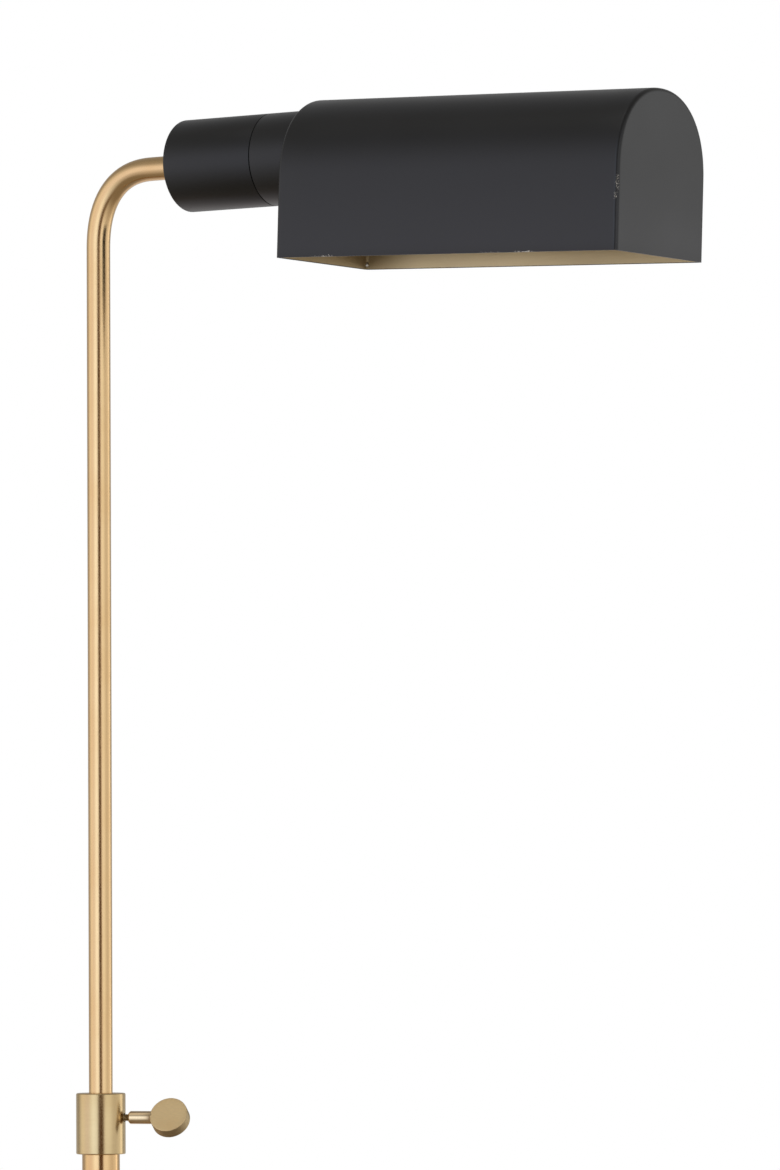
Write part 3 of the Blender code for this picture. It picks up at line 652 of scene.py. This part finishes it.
neck = lathe(
    "shade_neck_shell",
    [(NECK_R, 143.0), (NECK_R, SEAM_X + 0.15, 0.35), (SLEEVE_R, SEAM_X + 0.15), (SLEEVE_R, 92.0, 0.2), (SLEEVE_BORE, 92.0, 0.2),
     (SLEEVE_BORE, SEAM_X + 1.65, 0.3), (NECK_BORE, SEAM_X + 1.65), (NECK_BORE, 143.0)],
    144, [m_black, m_gold], AT_ARM, segments=5, pick=lambda r, h: 1 if (r < NECK_BORE + 0.01 and h > SEAM_X + 1.6) or r < SLEEVE_BORE + 0.01 else 0,
)
# its end follows the tilted rear plate, and stops inside the plate's thickness
bm = bmesh.new()
bm.from_mesh(neck.data)
cut_place = AT_ARM.inverted() @ AT_SHADE @ Vector((0.00045, 0, 0))
cut_normal = (AT_ARM.inverted().to_3x3() @ AT_SHADE.to_3x3() @ Vector((1, 0, 0))).normalized()
bmesh.ops.bisect_plane(bm, geom=bm.verts[:] + bm.edges[:] + bm.faces[:], plane_co=cut_place, plane_no=cut_normal, clear_outer=True)
edges = [e for e in bm.edges if e.is_boundary]
bmesh.ops.bridge_loops(bm, edges=edges)
bm.to_mesh(neck.data)
bm.free()
neck.data.shade_smooth()
neck.data.set_sharp_from_angle(angle=math.radians(38))
put(neck, "shade", "satin_black", "shade_neck")


# ------------------------------------------------------------------ shade
def section(inset, walls=5, arc=72):
    """The shade's outline set in by inset, from the lower edge at -Y over the top to +Y, as (across, up) in millimetres."""
    half_in, over = SHADE_W / 2 - inset, max(0.0, SHADE_H - SHADE_RISE - inset)
    row = [(-half_in, SHADE_RISE * i / walls) for i in range(walls)]
    for i in range(arc + 1):
        t = math.pi * i / arc
        side_way = math.copysign(abs(math.cos(t)) ** (2 / SHADE_N), math.cos(t))
        row.append((-half_in * side_way, SHADE_RISE + over * abs(math.sin(t)) ** (2 / SHADE_N)))
    return row + [(half_in, SHADE_RISE * (1 - (i + 1) / walls)) for i in range(walls)]


EDGE = 2.2  # outside radius of the shade's formed edges
stations = []  # (along, inset)
plate_insets = [SHADE_W / 2, 30, 20, 10, 5.0, 3.2]
stations += [(0.0, d) for d in plate_insets]
stations += [(EDGE * (1 - math.sin(a)), EDGE * (1 - math.cos(a))) for a in (math.pi / 2 * (1 - k / 8) for k in range(9))]
stations += [(SHADE_L * f, 0.0) for f in (0.1, 0.2, 0.3, 0.4, 0.5, 0.6, 0.7, 0.8, 0.9)]
stations += [(SHADE_L - EDGE * (1 - math.sin(a)), EDGE * (1 - math.cos(a))) for a in (math.pi / 2 * k / 8 for k in range(9))]
stations += [(SHADE_L, d) for d in reversed(plate_insets)]
bm = bmesh.new()
rows = [[bm.verts.new((along * MM, across * MM, up * MM)) for across, up in section(min(inset, SHADE_W / 2 - 1e-5))] for along, inset in stations]
for a, b in zip(rows, rows[1:]):
    for k in range(len(a) - 1):
        bm.faces.new((a[k], a[k + 1], b[k + 1], b[k]))
bmesh.ops.remove_doubles(bm, verts=bm.verts, dist=2e-7)
bmesh.ops.dissolve_degenerate(bm, edges=bm.edges, dist=1e-7)
bmesh.ops.recalc_face_normals(bm, faces=bm.faces)
centre = Vector((SHADE_L / 2, 0, SHADE_H / 2)) * MM
if sum((f.calc_center_median() - centre).dot(f.normal) for f in bm.faces) < 0:
    bmesh.ops.reverse_faces(bm, faces=bm.faces)
mesh = bpy.data.meshes.new("shade_shell")
bm.to_mesh(mesh)
bm.free()
shell = bpy.data.objects.new("shade_shell", mesh)
bpy.context.scene.collection.objects.link(shell)
for m in (m_shade, m_gold):
    mesh.materials.append(m)
shell.matrix_world = AT_SHADE
thick = shell.modifiers.new("thickness", "SOLIDIFY")
thick.thickness = SHADE_T * MM
thick.offset = -1.0
thick.use_even_offset = True
thick.material_offset = 1
thick.material_offset_rim = 0
apply_modifiers(shell)
drill(shell, 21.0, 24, Matrix.Translation(((SHADE_X + 3) * MM, 0, ARM_Z * MM)) @ ALONG_X, 96)
soft = shell.modifiers.new("soft_edges", "BEVEL")
soft.width = 0.22 * MM
soft.segments = 2
soft.limit_method = "ANGLE"
soft.angle_limit = math.radians(55)
soft.use_clamp_overlap = True
soft.loop_slide = True
apply_modifiers(shell)
shell.data.shade_smooth()
shell.data.set_sharp_from_angle(angle=math.radians(50))
put(shell, "shade", "satin_black", "shade_arch", "shade_rear_plate", "shade_end_plate")

# ------------------------------------------------------------------ lamp and lampholder
CAP_PITCH = 3.63


def lamp_thread(r, h, angle):
    if not 97.2 < h < 113.5 or r < 11.8:
        return r
    fade = min(1.0, (h - 97.2) / 1.5, (113.5 - h) / 1.5)
    return r - 0.45 * fade * (1 - math.cos(2 * math.pi * (h / CAP_PITCH - angle / (2 * math.pi))))


cap_out = [(13.1, 118.0, 0.2)] + [(13.1, 117.0 - 20.0 * i / 64) for i in range(65)]
cap = lathe(
    "lamp_cap_threaded", cap_out + [(11.5, 95.0, 0.5), (4.0, 95.0), (4.0, 95.5), (11.0, 95.5), (11.6, 97.4), (11.95, 118.0)],
    80, [m_nickel], AT_ARM, radius_of=lamp_thread,
)
put(cap, "stem", "nickel", "bulb_cap")

glass_out = [(11.9, 105.0), (11.9, 118.0, 2), (12.5, 121.0, 4), (15.2, 127.5, 6), (16.0, 132.0, 6), (16.0, 217.0)]
glass_out = filleted(glass_out, False, 5) + [(16.0 * math.cos(math.radians(a)), 217.0 + 16.0 * math.sin(math.radians(a))) for a in range(6, 91, 6)]
glass_out[-1] = (0.0, 233.0)
glass_in = [(max(0.0, r - 0.8), min(h, 232.2)) for r, h in glass_out[:-1]]
glass_in = [(r, h) for r, h in glass_in if r > 0.5] + [(0.0, 232.2)]
glass = lathe("lamp_glass_frosted", list(reversed(glass_out)) + glass_in, 72, [m_glass], AT_ARM, closed=False)
put(glass, "stem", "frosted_glass", "bulb_glass")

holder = lathe(
    "lampholder_moulded",
    [(0, 87.5), (14.6, 87.5), (14.6, 116.0, 0.3), (16.3, 116.0, 0.5), (16.3, 112.5, 0.2), (15.9, 112.0, 0.2), (15.9, 110.6, 0.2), (16.3, 110.1, 0.2),
     (16.3, 84.3, 0.4), (0, 84.3)],
    88, [m_phenolic], AT_ARM, closed=False,
)
put(holder, "stem", "phenolic", "lampholder_body")


def shell_thread(r, h, angle):
    if not 90.5 < h < 113.5 or r < 13.0:
        return r
    return r - 0.25 * (1 - math.cos(2 * math.pi * (h / CAP_PITCH - angle / (2 * math.pi))))


wall = [(14.2, 114.0 - 26.0 * i / 60) for i in range(61)]
wall_in = [(13.7, 88.6 + 25.4 * i / 60) for i in range(61)]
threads = lathe(
    "lampholder_screw_shell", wall + [(14.2, 87.8), (8.0, 87.8), (8.0, 88.4)] + wall_in, 72, [m_collar], AT_ARM, radius_of=shell_thread,
)
put(threads, "stem", "turned_brass", "screw_shell")

# solder tacks inside the shade's lower corners
tack_mat = metal("solder_tack_metal", (0.60, 0.57, 0.50), 0.30, (1, 1, 1), 900.0)
bm = bmesh.new()
inner = SHADE_W / 2 - SHADE_T
for x, side in ((SHADE_T, 1), (SHADE_T, -1), (SHADE_L - SHADE_T, 1), (SHADE_L - SHADE_T, -1)):
    for z, size in ((2.4, 1.25), (36.0, 1.1)):
        tilt = Matrix.Translation(Vector((x, side * inner, z)) * MM) @ Matrix.Diagonal((1.0, 1.0, 1.25, 1.0))
        bmesh.ops.create_icosphere(bm, subdivisions=3, radius=size * MM, matrix=tilt)
for v in bm.verts:
    wobble = 1.0 + 0.08 * math.sin(v.co.x * 5200 + v.co.z * 3100) * math.cos(v.co.y * 4100 + v.co.z * 2700)
    v.co.x = v.co.x + (wobble - 1.0) * 0.0006
# only what stands inside the shade is kept
for edge_x, way in ((SHADE_T * 0.6 * MM, -1), ((SHADE_L - SHADE_T * 0.6) * MM, 1)):
    bmesh.ops.bisect_plane(bm, geom=bm.verts[:] + bm.edges[:] + bm.faces[:], plane_co=(edge_x, 0, 0), plane_no=(way, 0, 0), clear_outer=True)
for side in (1, -1):
    bmesh.ops.bisect_plane(
        bm, geom=bm.verts[:] + bm.edges[:] + bm.faces[:], plane_co=(0, side * (SHADE_W / 2 - SHADE_T * 0.6) * MM, 0), plane_no=(0, side, 0), clear_outer=True,
    )
bmesh.ops.holes_fill(bm, edges=[e for e in bm.edges if e.is_boundary])
tacks = finish_mesh("solder_tacks", bm, [tack_mat], AT_SHADE)
put(tacks, "shade", "turned_brass")

# ------------------------------------------------------------------ CAD nodes that keep their mesh
KEPT = {
    "base_weight": m_iron, "base_washer": m_steel, "base_nut": m_steel, "base_nipple": m_steel, "tube_coupling": m_collar,
    "guide_bush": m_nylon, "glide_bush": m_nylon, "glide_ring_lower": m_steel, "glide_ring_upper": m_steel, "clamp_pad": m_nylon,
    "lamp_lead": m_pvc, "lead_core_line": m_pvc, "lead_core_neutral": m_pvc, "arm_nipple": m_steel, "arm_washer": m_steel,
    "arm_nut": m_steel, "swivel_ring": m_collar, "stop_pin": m_steel, "lampholder_cap": m_phenolic, "centre_contact": m_collar,
    "terminal_screw_line": m_collar, "terminal_screw_neutral": m_collar, "bulb_contact": m_nickel, "bulb_insulator": m_phenolic,
    "filament_mount": m_glass, "filament": m_tungsten, "swivel_nut": m_collar, "wave_washer": m_steel, "stop_screw": m_steel,
}
for node, mat in KEPT.items():
    obj = NODES[node]
    for i in range(len(obj.material_slots)):
        obj.material_slots[i].material = mat
    if not obj.material_slots:
        obj.data.materials.append(mat)

# ------------------------------------------------------------------ floor and light
bm = bmesh.new()
bmesh.ops.create_circle(bm, cap_ends=True, segments=96, radius=9.0)
mesh = bpy.data.meshes.new("floor")
bm.to_mesh(mesh)
bm.free()
floor = bpy.data.objects.new("floor", mesh)
bpy.context.scene.collection.objects.link(floor)
floor.location = (0, 0, -0.0002)
m_floor, t, shader = material("pale_floor")
shader.inputs["Roughness"].default_value = 0.9
shader.inputs["Specular IOR Level"].default_value = 0.2
shader.inputs["Emission Color"].default_value = (1, 1, 1, 1)
shader.inputs["Emission Strength"].default_value = 0.26
t.join(t.mix(t.noise(t.object_co(), 3.0), (0.86, 0.86, 0.86), (0.88, 0.88, 0.88)), shader.inputs["Base Color"])
mesh.materials.append(m_floor)
floor.visible_glossy = False

world = bpy.data.worlds.new("studio")
bpy.context.scene.world = world
world.use_nodes = True
wt = Tree(world.node_tree)
out = world.node_tree.nodes["World Output"]
back = world.node_tree.nodes["Background"]
direction = wt.node("ShaderNodeTexCoord").outputs["Generated"]


SOFT_LAMP = (-0.139, -0.423, 0.895)  # where the soft lamp above and in front lies


def dot(vector, axis):
    made = wt.node("ShaderNodeVectorMath", operation="DOT_PRODUCT")
    wt.join(vector, made.inputs[0])
    made.inputs[1].default_value = axis
    return made.outputs["Value"]


def curve(value, low, high, stops):
    """A level read from (place, level) stops between low and high, in degrees, joined by straight lines."""
    made = wt.node("ShaderNodeValToRGB")
    wt.set(made.inputs[0], wt.ramp(value, rad(low), rad(high), 0.0, 1.0, smooth=False))
    elements = made.color_ramp.elements
    while len(elements) > 1:
        elements.remove(elements[-1])
    for i, (place, level) in enumerate(stops):
        at = (place - low) / (high - low)
        element = elements[0] if i == 0 else elements.new(at)
        element.position = at
        element.color = (*(level if isinstance(level, tuple) else (level,) * 3), 1.0)
    return made.outputs["Color"]


# the studio: bright walls to both sides, a dark gap where the camera stands, a dim ceiling and floor, a soft lamp high in front
rad = math.radians
across = dot(direction, (math.cos(CAM_AZ), math.sin(CAM_AZ), 0.0))
toward = dot(direction, (math.sin(CAM_AZ), -math.cos(CAM_AZ), 0.0))
azimuth = wt.math("ARCTAN2", across, toward)
elevation = wt.math("ARCSINE", dot(direction, (0, 0, 1)))
GAP = (0.09, 0.035, 0.0)
walls = curve(azimuth, -180, 180, [
    (-180, 0.30), (-128, 0.32), (-114, 0.55), (-104, 0.88), (-92, 1.05), (-78, (0.99, 0.98, 1.05)), (-60, (0.97, 0.96, 1.09)), (-48, (1.06, 1.12, 1.24)), (-36, (1.30, 1.46, 1.72)), (-18, (1.24, 1.40, 1.66)),
    (-11.5, (1.06, 1.12, 1.25)), (-8, GAP), (14, GAP), (18, (1.0, 1.0, 1.02)), (28, (1.10, 1.16, 1.24)), (46, (1.02, 1.06, 1.10)), (62, 0.78), (78, 0.74), (92, 0.86), (103, 0.90), (109, 1.36), (119, 1.42), (124, 0.50), (132, 0.30), (180, 0.30),
])
band = curve(elevation, -90, 90, [(-90, 0.0), (-52, 0.0), (-45, 0.07), (-33, 0.36), (-21, 0.62), (-12, 0.92), (-6, 1.0), (11, 1.0), (17, 0.78), (26, 0.49), (35, 0.21), (45, 0.05), (58, 0.0), (90, 0.0)])
around = curve(elevation, -90, 90, [(-90, (0.25, 0.215, 0.17)), (-15, (0.27, 0.235, 0.19)), (15, (0.29, 0.28, 0.26)), (90, (0.27, 0.26, 0.25))])
front = wt.mix(band, around, walls)
rear = curve(elevation, -90, 90, [
    (-90, (0.22, 0.20, 0.18)), (-62, (0.26, 0.24, 0.22)), (-52, (0.36, 0.32, 0.31)), (-44, (0.60, 0.55, 0.54)), (-30, (0.74, 0.69, 0.68)), (-12, 0.60), (2, 0.48), (22, 0.42), (36, 0.34), (50, 0.30), (90, 0.28),
])
sky = wt.mix(wt.ramp(wt.math("ABSOLUTE", azimuth), rad(120), rad(144)), front, rear)
soft = dot(direction, SOFT_LAMP)
sky = wt.mix(wt.ramp(soft, math.cos(rad(24)), math.cos(rad(12))), sky, (0.75, 0.74, 0.72))
lit = wt.node("ShaderNodeBackground")
wt.join(sky, lit.inputs["Color"])
lit.inputs["Strength"].default_value = 1.0
back.inputs["Color"].default_value = (1, 1, 1, 1)
back.inputs["Strength"].default_value = 1.0
seen = wt.node("ShaderNodeLightPath").outputs["Is Camera Ray"]
blend = wt.node("ShaderNodeMixShader")
wt.join(seen, blend.inputs[0])
wt.join(lit.outputs[0], blend.inputs[1])
wt.join(back.outputs[0], blend.inputs[2])
wt.join(blend.outputs[0], out.inputs["Surface"])

top = bpy.data.lights.new("overhead", "AREA")
top.shape = "DISK"
top.size = 3.0
top.energy = 75.0
lamp = bpy.data.objects.new("overhead", top)
bpy.context.scene.collection.objects.link(lamp)
lamp.location = (0.6, -0.8, 4.2)
lamp.rotation_euler = (Vector((0.6, -0.8, 4.2)) - Vector((0.1, 0, 0.6))).to_track_quat("Z", "Y").to_euler()
lamp.visible_glossy = False
